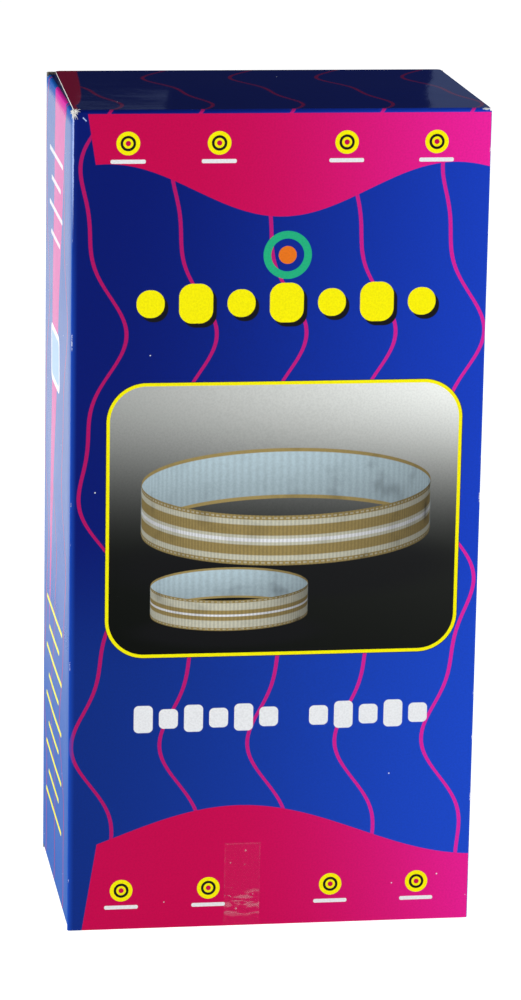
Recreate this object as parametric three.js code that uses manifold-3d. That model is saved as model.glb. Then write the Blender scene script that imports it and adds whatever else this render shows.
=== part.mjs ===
// A tall folding carton of thin board: a four-panel sleeve, a lid hinged on the front wall with a tuck flap
// behind the back wall, dust flaps on the side walls, and a base held shut by one strip of clear tape.
// Millimetres, +Z up. The front faces -Y and the origin is the middle of the footprint, at the base.
import * as THREE from "three";
import { mergeVertices } from "three/addons/utils/BufferGeometryUtils.js";
import Module from "manifold-3d";

const wasm = await Module();
wasm.setup();

// Outside of the closed carton
const WIDTH = 125;
const DEPTH = 80;
const HEIGHT = 254;

// Board and its creases
const BOARD = 0.5;
const CREASE_RADIUS = 0.9; // outside radius of the folded board
const SEAM = 0.3; // clearance between two pieces at a crease
const ARC_STEPS = 6; // facets in a quarter turn of a crease

// Glue flap, on the right wall's rear crease and glued inside the back wall
const GLUE_FLAP_WIDTH = 15;
const GLUE_FLAP_TAPER = 4; // how much shorter its free edge is at each end
const GLUE_FLAP_END = 2; // how far its root stops short of the wall's ends
const GLUE_DEPTH = 0.1; // how deep the glued face is fused into the back wall
const GLUED_EDGE_SETBACK = 0.3; // back wall's raw edge, inside the rear right crease
const GLUE_FLAP_ROOT = 1; // strip of it that runs the full height, next to the crease

// Lid, cut a little narrower towards its rear edge
const LID_INSET_FRONT = 0.5;
const LID_INSET_REAR_LEFT = 2.6;
const LID_INSET_REAR_RIGHT = 1.2;
const LID_CORNER = 1.5;
const LID_HINGE_SETBACK = 0.3; // lid's front edge, behind the hinge axis
const BACK_EDGE_DROP = 0.2; // back wall's cut edge, below the lid's face

// Tuck flaps of the lid and of the base
const TUCK_LENGTH = 16;
const TUCK_CORNER = 11;
const TUCK_SIDE_INSET = 1.5; // each end of a tuck flap, inside its panel's side
const TUCK_LEAN = 6; // degrees that the lid's tuck flap leans into the carton

// Dust flaps, with a tapered edge on the side where the tuck flap goes in
const DUST_MEETING_GAP = 11; // between the free ends of a left and a right flap
const DUST_FRONT_CLEARANCE = 1; // from the wall that carries the panel
const DUST_TUCK_CLEARANCE = 4.5; // from the wall that the tuck flap slides behind
const DUST_TAPER = 7; // how far the free end is cut back on the tuck flap's side
const DUST_SHOULDER = 12; // straight length next to the crease
const DUST_CORNER = 3;
const DUST_ROOT_SETBACK = 0.2; // flap's folded edge, inside the wall's outer face

// Base panel and clear tape
const BASE_INSET = 0.8;
const TAPE_WIDTH = 11;
const TAPE_FROM_LEFT = 53.9; // left wall to the middle of the tape
const TAPE_UP = 27; // height up the front wall
const TAPE_UNDER = 24; // length under the base
const TAPE_THICKNESS = 0.1;
const TAPE_CLEARANCE = 0.1; // between the tape and the board that it is pressed into

// Places that follow from the sizes above
const HALF_WIDTH = WIDTH / 2;
const HALF_DEPTH = DEPTH / 2;
const CREASE_INSIDE = CREASE_RADIUS - BOARD;
const LID_UNDERSIDE = HEIGHT - BOARD;
const FRONT_WALL_TOP = LID_UNDERSIDE - SEAM;
const BACK_WALL_TOP = HEIGHT - BACK_EDGE_DROP;
const DUST_LENGTH = HALF_WIDTH - DUST_MEETING_GAP / 2;
const DUST_STACK = 2 * (BOARD + SEAM); // a panel, a dust flap and their two clearances
const PANEL_REAR = HALF_DEPTH - 2 * BOARD - SEAM; // lid's and base's rear edge, clear of the glue flap
const BASE_FRONT = -HALF_DEPTH + BOARD + SEAM; // just inside the front wall
const TAPE_CENTRE = TAPE_FROM_LEFT - HALF_WIDTH;
const TAPE_SEAT = TAPE_THICKNESS + TAPE_CLEARANCE;
const OVERCUT = 1; // how far a cutting block runs past the board
const MERGE_DISTANCE = 1e-4; // vertices closer than this are one

function finish(name, color, roughness) {
  return new THREE.MeshStandardMaterial({ name, color, roughness, metalness: 0 });
}

const MATERIALS = {
  sleeve: finish("sleeve_print", 0x1e3496, 0.32),
  lid: finish("lid_print", 0x14205c, 0.3),
  flap: finish("raw_board", 0xc9c4b6, 0.9),
  base: finish("base_print", 0x1e3496, 0.35),
  tape: finish("clear_tape", 0xd9dde2, 0.15),
};

// Solids from closed geometry, and back again

function toSolid(geometry) {
  const bare = geometry.clone();
  bare.deleteAttribute("normal");
  bare.deleteAttribute("uv");
  const merged = mergeVertices(bare, MERGE_DISTANCE);
  return new wasm.Manifold(
    new wasm.Mesh({
      numProp: 3,
      vertProperties: merged.attributes.position.array,
      triVerts: new Uint32Array(merged.index.array),
    }),
  );
}

function toGeometry(solid) {
  const mesh = solid.getMesh();
  const geometry = new THREE.BufferGeometry();
  geometry.setAttribute("position", new THREE.BufferAttribute(mesh.vertProperties, 3));
  geometry.setIndex(new THREE.BufferAttribute(mesh.triVerts, 1));
  geometry.computeVertexNormals();
  return geometry;
}

// A block between two opposite corners
function block(low, high) {
  const size = new THREE.Vector3().subVectors(high, low);
  const middle = new THREE.Vector3().addVectors(low, high).multiplyScalar(0.5);
  return new THREE.BoxGeometry(size.x, size.y, size.z).translate(middle.x, middle.y, middle.z);
}

function plate(outline, thickness) {
  return new THREE.ExtrudeGeometry(outline, {
    depth: thickness,
    bevelEnabled: false,
    curveSegments: ARC_STEPS,
  });
}

// A YZ profile pulled along X, centred on x = 0
function pulledAlongX(profile, length) {
  const solid = plate(profile, length).translate(0, 0, -length / 2);
  return solid.applyMatrix4(
    new THREE.Matrix4().makeBasis(
      new THREE.Vector3(0, 1, 0),
      new THREE.Vector3(0, 0, 1),
      new THREE.Vector3(1, 0, 0),
    ),
  );
}

function mesh(name, geometry, material) {
  const made = new THREE.Mesh(geometry, material);
  made.name = name;
  return made;
}

// Sleeve: four walls in one ring, open at both ends

function sleeveSection() {
  const right = HALF_WIDTH - CREASE_RADIUS;
  const deep = HALF_DEPTH - CREASE_RADIUS;
  const rightRear = deep - BOARD; // this crease lies inside the back wall
  const rawEdge = right - GLUED_EDGE_SETBACK;
  const flapRoot = rawEdge - GLUE_FLAP_ROOT;
  const quarter = Math.PI / 2;

  const outside = new THREE.Shape();
  outside.moveTo(-right, -HALF_DEPTH);
  outside.absarc(right, -deep, CREASE_RADIUS, -quarter, 0, false);
  outside.absarc(right, rightRear, CREASE_RADIUS, 0, quarter, false);
  outside.lineTo(rawEdge, HALF_DEPTH - BOARD);
  outside.lineTo(rawEdge, HALF_DEPTH);
  outside.absarc(-right, deep, CREASE_RADIUS, quarter, 2 * quarter, false);
  outside.absarc(-right, -deep, CREASE_RADIUS, 2 * quarter, 3 * quarter, false);

  const inside = new THREE.Path();
  inside.moveTo(-right, BOARD - HALF_DEPTH);
  inside.absarc(right, -deep, CREASE_INSIDE, -quarter, 0, false);
  inside.absarc(right, rightRear, CREASE_INSIDE, 0, quarter, false);
  inside.lineTo(flapRoot, HALF_DEPTH - 2 * BOARD);
  inside.lineTo(flapRoot, HALF_DEPTH - BOARD);
  inside.absarc(-right, deep, CREASE_INSIDE, quarter, 2 * quarter, false);
  inside.absarc(-right, -deep, CREASE_INSIDE, 2 * quarter, 3 * quarter, false);
  outside.holes.push(inside);
  return outside;
}

function glueFlap() {
  const root = HALF_WIDTH - CREASE_RADIUS - GLUED_EDGE_SETBACK - GLUE_FLAP_ROOT / 2;
  const free = HALF_WIDTH - BOARD - GLUE_FLAP_WIDTH;
  const low = DUST_STACK + GLUE_FLAP_END;
  const high = BACK_WALL_TOP - DUST_STACK - GLUE_FLAP_END;
  const outline = new THREE.Shape([
    new THREE.Vector2(root, low),
    new THREE.Vector2(root, high),
    new THREE.Vector2(free, high - GLUE_FLAP_TAPER),
    new THREE.Vector2(free, low + GLUE_FLAP_TAPER),
  ]);
  const thick = BOARD + GLUE_DEPTH;
  return plate(outline, thick)
    .rotateX(Math.PI / 2)
    .translate(0, HALF_DEPTH - 2 * BOARD + thick, 0);
}

function sleeveGeometry() {
  let solid = toSolid(plate(sleeveSection(), BACK_WALL_TOP)).add(toSolid(glueFlap()));

  // The front wall's upper edge is lower than the back wall's, under the lid
  const past = HALF_WIDTH + OVERCUT;
  const frontOnly = -HALF_DEPTH + CREASE_RADIUS;
  const cuts = [
    block(
      new THREE.Vector3(-past, -HALF_DEPTH - OVERCUT, FRONT_WALL_TOP),
      new THREE.Vector3(past, frontOnly, HEIGHT + OVERCUT),
    ),
  ];

  // Both side walls end one dust flap lower, at the top and at the base
  const rearCorner = HALF_DEPTH - BOARD - CREASE_RADIUS;
  for (const side of [-1, 1]) {
    const inner = side * (HALF_WIDTH - CREASE_RADIUS);
    const outer = side * past;
    const [low, high] = [Math.min(inner, outer), Math.max(inner, outer)];
    cuts.push(
      block(
        new THREE.Vector3(low, frontOnly, HEIGHT - DUST_STACK),
        new THREE.Vector3(high, rearCorner, HEIGHT + OVERCUT),
      ),
      block(
        new THREE.Vector3(low, frontOnly, -OVERCUT),
        new THREE.Vector3(high, rearCorner, DUST_STACK),
      ),
    );
  }

  // Seat that the tape is pressed into
  const seatHalf = TAPE_WIDTH / 2 + TAPE_CLEARANCE;
  cuts.push(
    block(
      new THREE.Vector3(TAPE_CENTRE - seatHalf, -HALF_DEPTH - OVERCUT, -OVERCUT),
      new THREE.Vector3(TAPE_CENTRE + seatHalf, -HALF_DEPTH + TAPE_SEAT, TAPE_UP + TAPE_CLEARANCE),
    ),
    block(
      new THREE.Vector3(TAPE_CENTRE - seatHalf, -HALF_DEPTH - OVERCUT, -OVERCUT),
      new THREE.Vector3(TAPE_CENTRE + seatHalf, -HALF_DEPTH + BOARD + SEAM / 2, TAPE_SEAT),
    ),
  );
  for (const cut of cuts) solid = solid.subtract(toSolid(cut));
  return toGeometry(solid);
}

// Lid, drawn in its own frame with y = 0 on the hinge axis and z = 0 on its underside

function lidSides(insetRear) {
  const depth = PANEL_REAR + HALF_DEPTH;
  return { front: HALF_WIDTH - LID_INSET_FRONT, rear: HALF_WIDTH - insetRear, depth };
}

function lidGeometry() {
  const left = lidSides(LID_INSET_REAR_LEFT);
  const right = lidSides(LID_INSET_REAR_RIGHT);
  const outline = new THREE.Shape();
  outline.moveTo(-left.front, LID_HINGE_SETBACK);
  outline.lineTo(right.front, LID_HINGE_SETBACK);
  outline.lineTo(right.rear, right.depth - LID_CORNER);
  outline.quadraticCurveTo(right.rear, right.depth, right.rear - LID_CORNER, right.depth);
  outline.lineTo(LID_CORNER - left.rear, left.depth);
  outline.quadraticCurveTo(-left.rear, left.depth, -left.rear, left.depth - LID_CORNER);
  outline.closePath();
  return plate(outline, BOARD);
}

// A tuck flap's outline, from y = -root down, with round free corners
function tuckOutline(left, right, root) {
  const corner = Math.min(TUCK_CORNER, TUCK_LENGTH - 2 * root);
  const outline = new THREE.Shape();
  outline.moveTo(right, -root);
  outline.lineTo(left, -root);
  outline.absarc(left + corner, corner - TUCK_LENGTH, corner, Math.PI, 1.5 * Math.PI, false);
  outline.absarc(right - corner, corner - TUCK_LENGTH, corner, 1.5 * Math.PI, 2 * Math.PI, false);
  outline.closePath();
  return outline;
}

function tuckGeometry() {
  const left = TUCK_SIDE_INSET - lidSides(LID_INSET_REAR_LEFT).rear;
  const right = lidSides(LID_INSET_REAR_RIGHT).rear - TUCK_SIDE_INSET;
  return plate(tuckOutline(left, right, SEAM), BOARD)
    .translate(0, 0, -BOARD / 2)
    .rotateX(Math.PI / 2);
}

// Dust flap, drawn from its crease at x = 0 towards +X, tapered on its +Y side

function dustGeometry() {
  const front = -HALF_DEPTH + BOARD + DUST_FRONT_CLEARANCE;
  const rear = HALF_DEPTH - BOARD - DUST_TUCK_CLEARANCE;
  const outline = new THREE.Shape();
  outline.moveTo(DUST_ROOT_SETBACK, front);
  outline.lineTo(DUST_LENGTH - DUST_CORNER, front);
  outline.quadraticCurveTo(DUST_LENGTH, front, DUST_LENGTH, front + DUST_CORNER);
  outline.lineTo(DUST_LENGTH, rear - DUST_TAPER - DUST_CORNER);
  outline.quadraticCurveTo(
    DUST_LENGTH,
    rear - DUST_TAPER,
    DUST_LENGTH - DUST_CORNER,
    rear - DUST_TAPER + (DUST_TAPER * DUST_CORNER) / (DUST_LENGTH - DUST_SHOULDER),
  );
  outline.lineTo(DUST_SHOULDER, rear);
  outline.lineTo(DUST_ROOT_SETBACK, rear);
  outline.closePath();
  return plate(outline, BOARD);
}

// Base panel and its tuck flap, folded from one piece of board

function baseProfile() {
  const crease = BASE_FRONT + CREASE_RADIUS;
  const profile = new THREE.Shape();
  profile.moveTo(PANEL_REAR, 0);
  profile.lineTo(PANEL_REAR, BOARD);
  profile.absarc(crease, CREASE_RADIUS, CREASE_INSIDE, 1.5 * Math.PI, Math.PI, true);
  profile.lineTo(BASE_FRONT + BOARD, DUST_STACK);
  profile.lineTo(BASE_FRONT, DUST_STACK);
  profile.absarc(crease, CREASE_RADIUS, CREASE_RADIUS, Math.PI, 1.5 * Math.PI, false);
  profile.closePath();
  return profile;
}

function baseGeometry() {
  const half = HALF_WIDTH - BASE_INSET;
  const panel = pulledAlongX(baseProfile(), 2 * half);
  const flapHalf = half - TUCK_SIDE_INSET;
  const flap = plate(tuckOutline(-flapHalf, flapHalf, CREASE_RADIUS), BOARD)
    .rotateX(-Math.PI / 2)
    .translate(0, BASE_FRONT, 0);
  const seatHalf = TAPE_WIDTH / 2 + TAPE_CLEARANCE;
  const seat = block(
    new THREE.Vector3(TAPE_CENTRE - seatHalf, -HALF_DEPTH, -OVERCUT),
    new THREE.Vector3(TAPE_CENTRE + seatHalf, -HALF_DEPTH + TAPE_UNDER + TAPE_CLEARANCE, TAPE_SEAT),
  );
  return toGeometry(toSolid(panel).add(toSolid(flap)).subtract(toSolid(seat)));
}

// Clear tape: up the front wall and under the base, in one bent strip

function tapeGeometry() {
  const front = -HALF_DEPTH;
  const profile = new THREE.Shape();
  profile.moveTo(front + TAPE_UNDER, 0);
  profile.lineTo(front + TAPE_UNDER, TAPE_THICKNESS);
  profile.absarc(front + TAPE_SEAT, TAPE_SEAT, TAPE_CLEARANCE, 1.5 * Math.PI, Math.PI, true);
  profile.lineTo(front + TAPE_THICKNESS, TAPE_UP);
  profile.lineTo(front, TAPE_UP);
  profile.absarc(front + TAPE_SEAT, TAPE_SEAT, TAPE_SEAT, Math.PI, 1.5 * Math.PI, false);
  profile.closePath();
  return pulledAlongX(profile, TAPE_WIDTH);
}

// Assembly

const carton = new THREE.Group();
carton.add(mesh("carton_sleeve", sleeveGeometry(), MATERIALS.sleeve));

const lid = new THREE.Group();
lid.position.set(0, -HALF_DEPTH, LID_UNDERSIDE);
lid.add(mesh("lid_panel", lidGeometry(), MATERIALS.lid));

const tuck = mesh("tuck_flap", tuckGeometry(), MATERIALS.lid);
tuck.position.set(0, PANEL_REAR + HALF_DEPTH - BOARD, -SEAM / 2);
tuck.rotation.x = -THREE.MathUtils.degToRad(TUCK_LEAN);
lid.add(tuck);
carton.add(lid);

const dust = dustGeometry();
const upper = HEIGHT - BOARD - SEAM - BOARD;
const lower = BOARD + SEAM;
for (const [end, z, turnedOver] of [
  ["top", upper, false],
  ["bottom", lower, true],
]) {
  for (const [side, x, faces] of [
    ["left", -HALF_WIDTH, 1],
    ["right", HALF_WIDTH, -1],
  ]) {
    const made = mesh(`${end}_dust_flap_${side}`, dust, MATERIALS.flap);
    made.position.set(x, 0, z);
    made.scale.set(faces, turnedOver ? -1 : 1, 1);
    carton.add(made);
  }
}

carton.add(mesh("bottom_panel", baseGeometry(), MATERIALS.base));

const tape = mesh("clear_tape", tapeGeometry(), MATERIALS.tape);
tape.position.x = TAPE_CENTRE;
carton.add(tape);

export default carton;
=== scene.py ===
"""Looks of a tall folding carton of thin printed board, empty and closed.

The board is modelled as the sheets that it is folded from: a four-panel sleeve with a glue flap, a lid with
its tuck flap, four dust flaps and a taped base. Sizes are in millimetres and are scaled to metres where a
mesh is made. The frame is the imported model: +Z up, the front wall facing -Y, the origin under the middle.
"""

import logging
import math
from contextlib import contextmanager
from dataclasses import dataclass, field
from enum import Enum
from typing import Any, Callable, Iterator, Sequence, Union

import bmesh
import bpy
from mathutils import Euler, Matrix, Vector


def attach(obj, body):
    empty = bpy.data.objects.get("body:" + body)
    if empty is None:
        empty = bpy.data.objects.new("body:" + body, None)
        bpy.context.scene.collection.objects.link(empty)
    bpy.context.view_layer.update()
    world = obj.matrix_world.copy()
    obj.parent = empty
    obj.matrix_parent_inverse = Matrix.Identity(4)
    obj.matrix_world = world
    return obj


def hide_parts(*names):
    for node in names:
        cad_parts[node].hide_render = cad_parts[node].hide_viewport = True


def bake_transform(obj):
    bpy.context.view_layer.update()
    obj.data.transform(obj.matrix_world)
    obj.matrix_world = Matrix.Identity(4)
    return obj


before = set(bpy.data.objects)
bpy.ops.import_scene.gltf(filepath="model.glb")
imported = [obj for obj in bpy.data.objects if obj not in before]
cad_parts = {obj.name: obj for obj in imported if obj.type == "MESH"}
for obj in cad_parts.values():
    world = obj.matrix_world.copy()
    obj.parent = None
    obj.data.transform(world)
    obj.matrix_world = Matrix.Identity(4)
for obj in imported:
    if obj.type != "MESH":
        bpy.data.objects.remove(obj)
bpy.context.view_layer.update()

LOG = logging.getLogger("carton")
MM = 0.001
Point = tuple[float, float, float]
Colour = tuple[float, float, float]
Place = Callable[[Vector], bool]

# Outside of the closed carton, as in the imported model
HALF_WIDTH = 62.5
HALF_DEPTH = 40.0
HEIGHT = 254.0
BOARD = 0.5
CREASE = 0.9
WALL_X = HALF_WIDTH - CREASE
WALL_Y = HALF_DEPTH - CREASE
LID_TOP = HEIGHT
FRONT_TOP = HEIGHT - CREASE
SIDE_TOP = 252.3
SIDE_FOOT = 1.7


def ink(red: int, green: int, blue: int) -> Colour:
    """Turns a colour as seen, 0 to 255, into the linear one that a shader takes.

    Args:
        red: Red, 0 to 255.
        green: Green, 0 to 255.
        blue: Blue, 0 to 255.

    Returns:
        The linear colour.
    """
    def linear(value: float) -> float:
        """Undoes the display curve for one channel."""
        share = value / 255
        return share / 12.92 if share <= 0.04045 else ((share + 0.055) / 1.055) ** 2.4

    return linear(red), linear(green), linear(blue)


class Wall(Enum):
    """The sides of the carton, each with its own print."""

    FRONT = "front"
    LEFT = "left"
    BACK = "back"
    RIGHT = "right"
    LID = "lid"
    BASE = "base"


class Spot(Enum):
    """Where a finish reads a point's place on the board."""

    OBJECT = "object"  # a piece that moves as one
    FOLD = "fold"  # a fold strip, whose rest place is kept in an attribute


# Shader graph


class Wire:
    """A socket of a shader graph, with the sums that the finishes write on it."""

    def __init__(self, graph: "Graph", socket: bpy.types.NodeSocket) -> None:
        """Keeps the graph and the socket."""
        self.graph = graph
        self.socket = socket

    def _math(self, operation: str, *others: Any) -> "Wire":
        """Adds a Math node on this wire and the others."""
        values = dict(enumerate((self, *others)))
        return self.graph.node("ShaderNodeMath", {"operation": operation}, values)

    def _swapped(self, operation: str, first: float) -> "Wire":
        """Adds a Math node whose first value is a number and whose second is this wire."""
        return self.graph.node("ShaderNodeMath", {"operation": operation}, {0: first, 1: self})

    def __add__(self, other: Any) -> "Wire":
        """Sum."""
        return self._math("ADD", other)

    __radd__ = __add__

    def __sub__(self, other: Any) -> "Wire":
        """Difference."""
        return self._math("SUBTRACT", other)

    def __rsub__(self, other: float) -> "Wire":
        """A number less this wire."""
        return self._swapped("SUBTRACT", other)

    def __mul__(self, other: Any) -> "Wire":
        """Product."""
        return self._math("MULTIPLY", other)

    __rmul__ = __mul__

    def __truediv__(self, other: Any) -> "Wire":
        """Quotient."""
        return self._math("DIVIDE", other)

    def __abs__(self) -> "Wire":
        """Size without its sign."""
        return self._math("ABSOLUTE")

    def sine(self) -> "Wire":
        """Sine of a value in radians."""
        return self._math("SINE")

    def root(self) -> "Wire":
        """Square root."""
        return self._math("SQRT")

    def power(self, exponent: float) -> "Wire":
        """This wire raised to a power."""
        return self._math("POWER", exponent)

    def arcsine(self) -> "Wire":
        """Angle of a sine, in radians."""
        return self._math("ARCSINE")

    def least(self, other: Any) -> "Wire":
        """The smaller of two."""
        return self._math("MINIMUM", other)

    def most(self, other: Any) -> "Wire":
        """The larger of two."""
        return self._math("MAXIMUM", other)

    def wrapped(self, pitch: float) -> "Wire":
        """The value repeated from -pitch/2 to pitch/2."""
        return self._math("WRAP", pitch / 2, -pitch / 2)

    def above(self, limit: Any) -> "Wire":
        """1 where this wire is over the limit."""
        return self._math("GREATER_THAN", limit)

    def below(self, limit: float, soft: float = 0.2) -> "Wire":
        """Falls from 1 to 0 round a limit.

        Args:
            limit: Where it is one half.
            soft: Width of the fall.

        Returns:
            The mask.
        """
        return self.ramp(limit - soft / 2, limit + soft / 2, 1.0, 0.0)

    def ramp(self, start: float, end: float, low: float = 0.0, high: float = 1.0) -> "Wire":
        """Maps a range to another, smoothly and clamped.

        Args:
            start: Value that gives low.
            end: Value that gives high.
            low: Result at start.
            high: Result at end.

        Returns:
            The mapped wire.
        """
        return self.graph.node(
            "ShaderNodeMapRange",
            {"interpolation_type": "SMOOTHSTEP", "clamp": True},
            {"Value": self, "From Min": start, "From Max": end, "To Min": low, "To Max": high},
        )


class Graph:
    """A material's node tree."""

    def __init__(self, name: str) -> None:
        """Makes an empty material.

        Args:
            name: The material's name.
        """
        self.material = bpy.data.materials.new(name)
        self.material.use_nodes = True
        self.tree = self.material.node_tree
        self.tree.nodes.clear()

    def node(
        self,
        kind: str,
        settings: dict[str, Any] | None = None,
        sockets: dict[Union[str, int], Any] | None = None,
        output: Union[str, int] = 0,
    ) -> Wire:
        """Adds any node.

        Args:
            kind: The node's type.
            settings: Its own settings, set before its sockets.
            sockets: Values or wires, by socket identifier, name or number.
            output: Which output to return, by name or number.

        Returns:
            The wire of that output.
        """
        made = self.tree.nodes.new(kind)
        for key, value in (settings or {}).items():
            setattr(made, key, value)
        for key, value in (sockets or {}).items():
            socket = made.inputs[key] if isinstance(key, int) else self._find(made, key)
            if isinstance(value, Wire):
                self.tree.links.new(value.socket, socket)
            else:
                socket.default_value = value
        return Wire(self, made.outputs[output])

    @staticmethod
    def _find(made: bpy.types.Node, key: str) -> bpy.types.NodeSocket:
        """Finds an input by its identifier, or else by its name."""
        for socket in made.inputs:
            if socket.identifier == key:
                return socket
        return made.inputs[key]

    def blend(self, share: Any, first: Any, second: Any) -> Wire:
        """Mixes two colours.

        Args:
            share: 0 for the first, 1 for the second.
            first: A colour or a colour wire.
            second: A colour or a colour wire.

        Returns:
            The mixed colour.
        """
        def full(value: Any) -> Any:
            """Gives a plain colour its alpha."""
            return value if isinstance(value, Wire) else (*value, 1.0)

        return self.node(
            "ShaderNodeMix",
            {"data_type": "RGBA"},
            {"Factor_Float": share, "A_Color": full(first), "B_Color": full(second)},
            2,
        )

    def place(self, spot: Spot) -> Wire:
        """The place on the board, in millimetres.

        Args:
            spot: Where it is read.

        Returns:
            A vector wire.
        """
        if spot is Spot.OBJECT:
            metres = self.node("ShaderNodeTexCoord", output="Object")
        else:
            metres = self.node("ShaderNodeAttribute", {"attribute_name": "rest_place"}, output="Vector")
        settings = {"operation": "SCALE"}
        return self.node("ShaderNodeVectorMath", settings, {0: metres, "Scale": 1 / MM})

    def axes(self, vector: Wire) -> tuple[Wire, Wire, Wire]:
        """Splits a vector into its three numbers."""
        first = self.node("ShaderNodeSeparateXYZ", sockets={0: vector})
        split = first.socket.node.outputs
        return first, Wire(self, split[1]), Wire(self, split[2])

    def noise(self, vector: Wire, scale: float, detail: float = 2.0) -> Wire:
        """Smooth noise round 0.5.

        Args:
            vector: Where it is read.
            scale: Features in a unit of the vector.
            detail: Number of finer layers.

        Returns:
            The noise.
        """
        return self.node("ShaderNodeTexNoise", None, {"Vector": vector, "Scale": scale, "Detail": detail})

    def vector(self, x: Any, y: Any, z: Any) -> Wire:
        """Joins three numbers to a vector."""
        return self.node("ShaderNodeCombineXYZ", None, {0: x, 1: y, 2: z})

    def stretched(self, vector: Wire, scale: Point) -> Wire:
        """A vector with its axes scaled by themselves."""
        return self.node("ShaderNodeMapping", None, {"Vector": vector, "Scale": scale})

    def finish(self, colour: Any, roughness: Any, bump: Wire | None, bump_depth: float, **constants: Any) -> None:
        """Adds the shader and the output.

        Args:
            colour: Base colour.
            roughness: Roughness.
            bump: Height of the relief, 0 to 1, or None.
            bump_depth: Height of that relief in millimetres.
            **constants: Other sockets, underscores for spaces.
        """
        sockets: dict[Union[str, int], Any] = {
            "Base Color": colour if isinstance(colour, Wire) else (*colour, 1.0),
            "Roughness": roughness,
        }
        if bump is not None:
            sockets["Normal"] = self.node(
                "ShaderNodeBump", None, {"Strength": 1.0, "Distance": bump_depth * MM, "Height": bump}
            )
        sockets.update({name.replace("_", " "): value for name, value in constants.items()})
        shader = self.node("ShaderNodeBsdfPrincipled", None, sockets)
        self.node_output(shader)

    def node_output(self, shader: Wire) -> None:
        """Links a shader to the material's output."""
        out = self.tree.nodes.new("ShaderNodeOutputMaterial")
        self.tree.links.new(shader.socket, out.inputs[0])


# Shapes that the print is made of


@dataclass(frozen=True)
class Drawing:
    """Flat shapes as masks, drawn in millimetres on a wall."""

    graph: Graph

    def rounded_box(self, across: Wire, up: Wire, half: tuple[Any, Any], corner: float) -> Wire:
        """Distance outside a rectangle with round corners, negative inside its border strip.

        Args:
            across: Place from the middle, to the right.
            up: Place from the middle, upwards.
            half: Half width and half height.
            corner: Corner radius.

        Returns:
            The distance.
        """
        side = (abs(across) + corner - half[0]).most(0)
        end = (abs(up) + corner - half[1]).most(0)
        return (side * side + end * end).root() - corner

    def far(self, across: Wire, up: Wire) -> Wire:
        """Distance from the middle."""
        return (across * across + up * up).root()

    def stroke(self, across: Wire, up: Wire, turn: float, length: float, width: float) -> Wire:
        """Mask of a short straight mark.

        Args:
            across: Place from the middle, to the right.
            up: Place from the middle, upwards.
            turn: Its slope in degrees.
            length: Its length.
            width: Its width.

        Returns:
            The mask.
        """
        cosine, sine = math.cos(math.radians(turn)), math.sin(math.radians(turn))
        along = across * cosine + up * sine
        beside = up * cosine - across * sine
        return abs(along).below(length / 2, width) * abs(beside).below(width / 2, width * 0.6)


@dataclass(frozen=True)
class Inks:
    """The print's colours; some are darkened or lightened copies that paint light and shade."""

    deep_blue: Colour = (0.003, 0.011, 0.164)
    royal_blue: Colour = (0.012, 0.064, 0.66)
    foot_blue: Colour = (0.020, 0.130, 0.62)
    # pale blue of the front left crease: painted highlight on the rounded crease, over worn ink
    crease_highlight_blue: Colour = (0.011, 0.065, 0.45)
    side_blue: Colour = (0.009, 0.105, 0.45)
    side_pink: Colour = (0.60, 0.018, 0.32)
    # navy of the lid: the print's blue darkened as painted shade on the top, which the lamps hardly reach
    lid_navy_painted_shade: Colour = (0.003, 0.010, 0.120)
    crimson: Colour = (0.60, 0.003, 0.080)
    pink: Colour = (0.95, 0.020, 0.42)
    line: Colour = (0.45, 0.008, 0.13)
    line_pink: Colour = (0.78, 0.022, 0.42)
    # crimson of the lid: the print's magenta darkened as painted shade on the top
    lid_crimson_painted_shade: Colour = (0.28, 0.006, 0.045)
    yellow: Colour = (1.0, 0.92, 0.003)
    black: Colour = (0.010, 0.010, 0.012)
    white: Colour = (0.86, 0.88, 0.90)
    green: Colour = (0.02, 0.46, 0.22)
    orange: Colour = (0.85, 0.19, 0.015)
    fibre: Colour = (0.86, 0.88, 0.90)
    cracked: Colour = (0.46, 0.58, 0.96)
    band_cream: Colour = (0.63, 0.62, 0.49)
    band_tan: Colour = (0.36, 0.27, 0.10)
    lining: Colour = (0.50, 0.64, 0.70)


INKS = Inks()


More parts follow.
